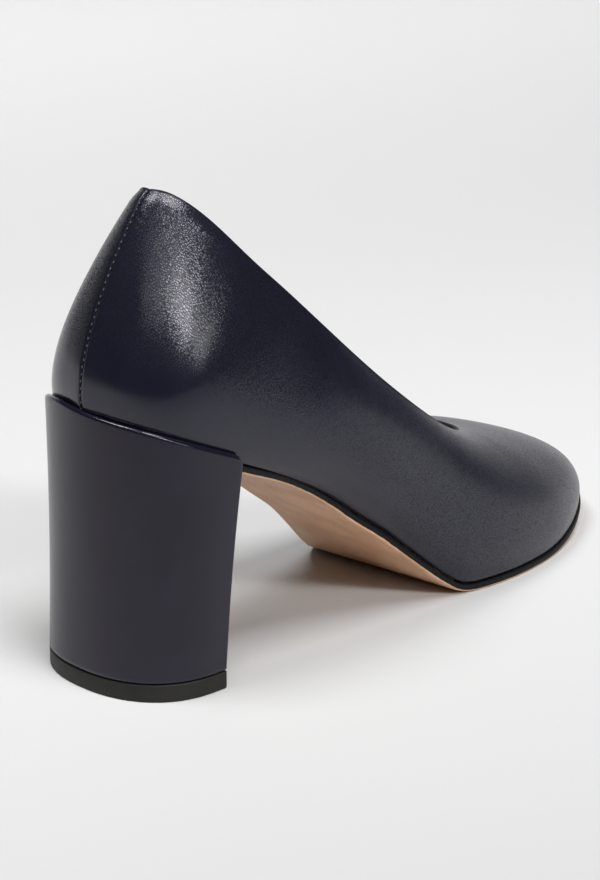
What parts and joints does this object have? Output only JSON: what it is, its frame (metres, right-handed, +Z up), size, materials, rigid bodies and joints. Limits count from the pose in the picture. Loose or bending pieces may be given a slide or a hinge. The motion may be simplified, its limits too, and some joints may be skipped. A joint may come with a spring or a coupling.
{
  "type": "block-heel court shoe",
  "caption": "Block-heel court shoe for the right foot: lasted leather upper open at the collar, thin arched leather sole, covered D-shaped heel with a cupped lip, rubber top piece.",
  "frame": {"origin": "on the floor under the middle of the shoe's bounding box", "axes": "+X from heel to toe, +Y to the inner side of the right foot, +Z up from the floor"},
  "size_m": [0.2315, 0.0748, 0.1405],
  "materials": {
    "upper_leather": "fine-grain nappa, semi-gloss, near-black navy",
    "sock_leather": "smooth matte lining leather",
    "sole_leather": "smooth tan sole leather with a black painted edge",
    "heel_leather": "smooth covered leather, semi-gloss, near-black navy",
    "lift_rubber": "matte dark olive-black rubber"
  },
  "bodies": {
    "root": {"upper": "upper_leather", "insole": "sock_leather", "outsole": "sole_leather", "heel_block": "heel_leather", "top_piece": "lift_rubber"}
  },
  "joints": []
}
